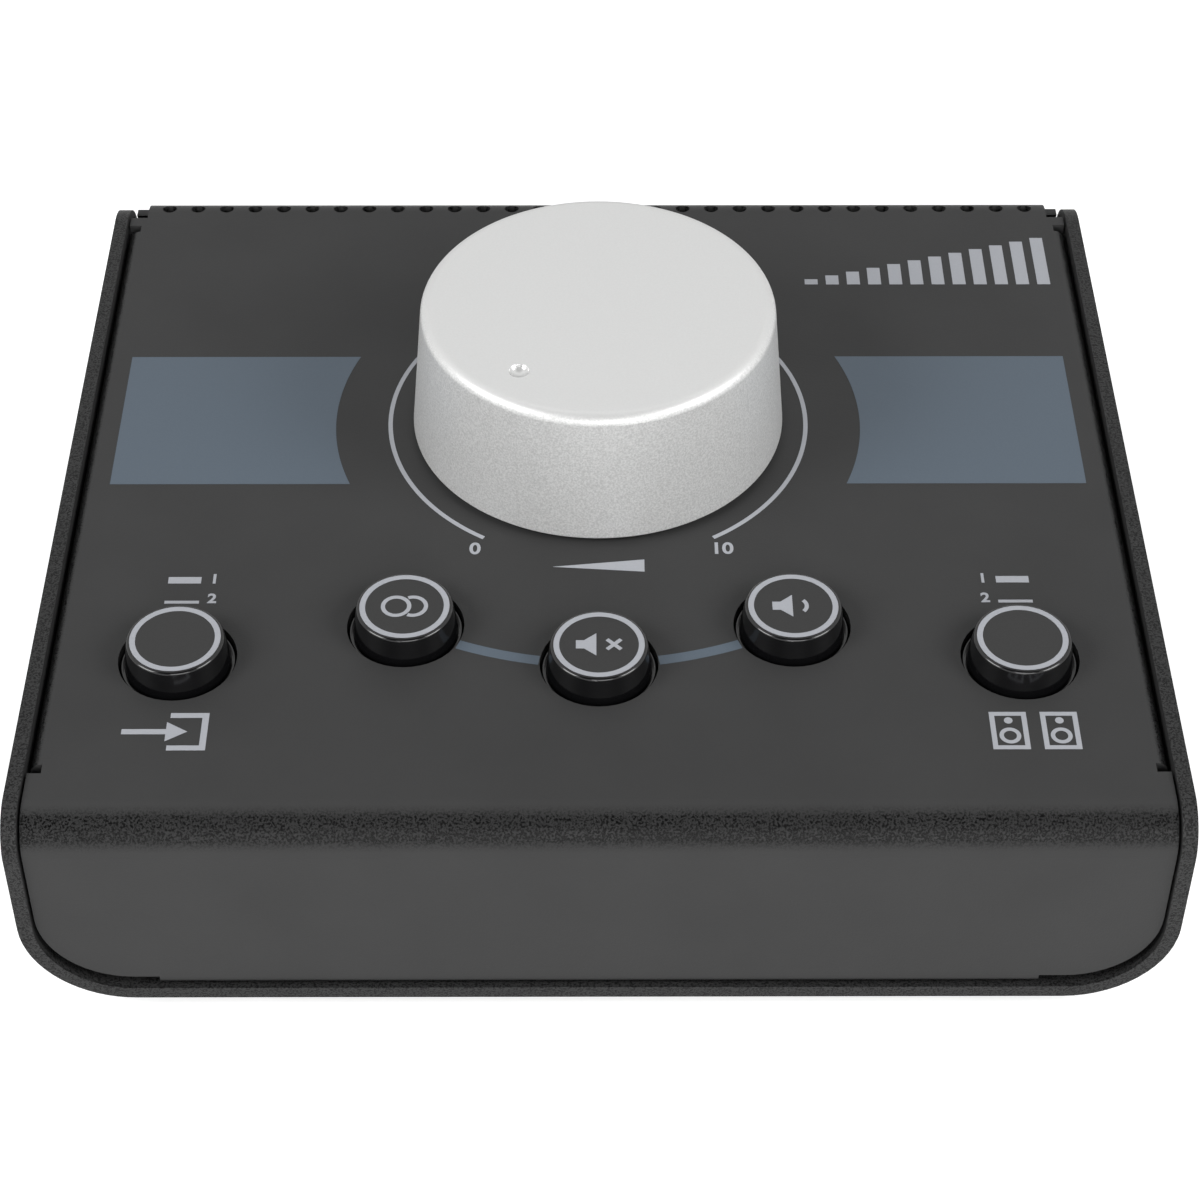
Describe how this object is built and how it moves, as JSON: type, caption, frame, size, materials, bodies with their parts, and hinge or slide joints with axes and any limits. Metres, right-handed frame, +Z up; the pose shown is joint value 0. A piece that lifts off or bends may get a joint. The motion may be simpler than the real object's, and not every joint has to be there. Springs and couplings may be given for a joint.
{
  "type": "studio monitor controller",
  "caption": "Desk-top wedge in folded steel with one large volume knob, push buttons in a row and a rear row of jacks.",
  "frame": {"origin": "on the desk under the middle of the whole controller", "axes": "+X to the right, +Y from the front to the rear jacks, +Z up"},
  "size_m": [0.168, 0.153, 0.0785],
  "materials": {
    "chassis_coat": "fine-texture powder coat",
    "cover_coat": "fine-texture powder coat with printed marks",
    "screw_steel": "plain",
    "foot_rubber": "plain",
    "bushing_brass": "plain",
    "nut_steel": "plain",
    "pot_plastic": "plain",
    "board_laminate": "plain",
    "terminal_brass": "plain",
    "standoff_steel": "plain",
    "switch_plastic": "plain",
    "spring_steel": "plain",
    "jack_plastic": "plain",
    "header_plastic": "plain",
    "ribbon_plastic": "plain",
    "knob_aluminium": "satin anodised",
    "insert_plastic": "plain",
    "shaft_steel": "plain",
    "cap_plastic": "gloss sides, matt top",
    "plunger_plastic": "plain"
  },
  "bodies": {
    "case": {"base_chassis": "chassis_coat", "top_cover": "cover_coat", "case_screws": "screw_steel", "foot_front_left": "foot_rubber", "foot_front_right": "foot_rubber", "foot_rear_left": "foot_rubber", "foot_rear_right": "foot_rubber", "pot_bushing": "bushing_brass", "pot_washer": "screw_steel", "pot_nut": "nut_steel", "pot_body": "pot_plastic", "control_board": "board_laminate", "switch_terminals": "terminal_brass", "board_standoffs": "standoff_steel", "board_screws": "screw_steel", "mono_switch": "switch_plastic", "mute_switch": "switch_plastic", "dim_switch": "switch_plastic", "source_switch": "switch_plastic", "monitor_switch": "switch_plastic", "mono_spring": "spring_steel", "mute_spring": "spring_steel", "dim_spring": "spring_steel", "source_spring": "spring_steel", "monitor_spring": "spring_steel", "monitor_1_left_jack": "jack_plastic", "monitor_1_right_jack": "jack_plastic", "monitor_2_left_jack": "jack_plastic", "monitor_2_right_jack": "jack_plastic", "source_1_left_jack": "jack_plastic", "source_1_right_jack": "jack_plastic", "source_2_left_jack": "jack_plastic", "source_2_right_jack": "jack_plastic", "mini_jack": "jack_plastic", "mini_jack_nut": "nut_steel", "mini_jack_leads": "terminal_brass", "jack_washers": "screw_steel", "jack_nuts": "nut_steel", "jack_board": "board_laminate", "jack_terminals": "terminal_brass", "control_header": "header_plastic", "jack_header": "header_plastic", "ribbon_cable": "ribbon_plastic"},
    "volume": {"volume_knob": "knob_aluminium", "knob_insert": "insert_plastic", "pot_shaft": "shaft_steel"},
    "mono_button": {"mono_cap": "cap_plastic", "mono_plunger": "plunger_plastic"},
    "mute_button": {"mute_cap": "cap_plastic", "mute_plunger": "plunger_plastic"},
    "dim_button": {"dim_cap": "cap_plastic", "dim_plunger": "plunger_plastic"},
    "source_button": {"source_cap": "cap_plastic", "source_plunger": "plunger_plastic"},
    "monitor_button": {"monitor_cap": "cap_plastic", "monitor_plunger": "plunger_plastic"}
  },
  "joints": [
    {"name": "volume_turn", "type": "hinge", "parent": "case", "child": "volume", "pos_m": [0, 0.01098, 0.05145], "axis": [0, 0.1392, -0.9903], "range_deg": [-6, 294]},
    {"name": "mono_press", "type": "slide", "parent": "case", "child": "mono_button", "axis": [0, 0.1392, -0.9903], "range_m": [0, 0.003], "stiffness_N_per_m": 500, "springref_m": -0.002, "deforming": ["mono_spring"]},
    {"name": "mute_press", "type": "slide", "parent": "case", "child": "mute_button", "axis": [0, 0.1392, -0.9903], "range_m": [0, 0.003], "stiffness_N_per_m": 500, "springref_m": -0.002, "deforming": ["mute_spring"]},
    {"name": "dim_press", "type": "slide", "parent": "case", "child": "dim_button", "axis": [0, 0.1392, -0.9903], "range_m": [0, 0.003], "stiffness_N_per_m": 500, "springref_m": -0.002, "deforming": ["dim_spring"]},
    {"name": "source_press", "type": "slide", "parent": "case", "child": "source_button", "axis": [0, 0.1392, -0.9903], "range_m": [0, 0.003], "stiffness_N_per_m": 500, "springref_m": -0.002, "deforming": ["source_spring"]},
    {"name": "monitor_press", "type": "slide", "parent": "case", "child": "monitor_button", "axis": [0, 0.1392, -0.9903], "range_m": [0, 0.003], "stiffness_N_per_m": 500, "springref_m": -0.002, "deforming": ["monitor_spring"]}
  ]
}
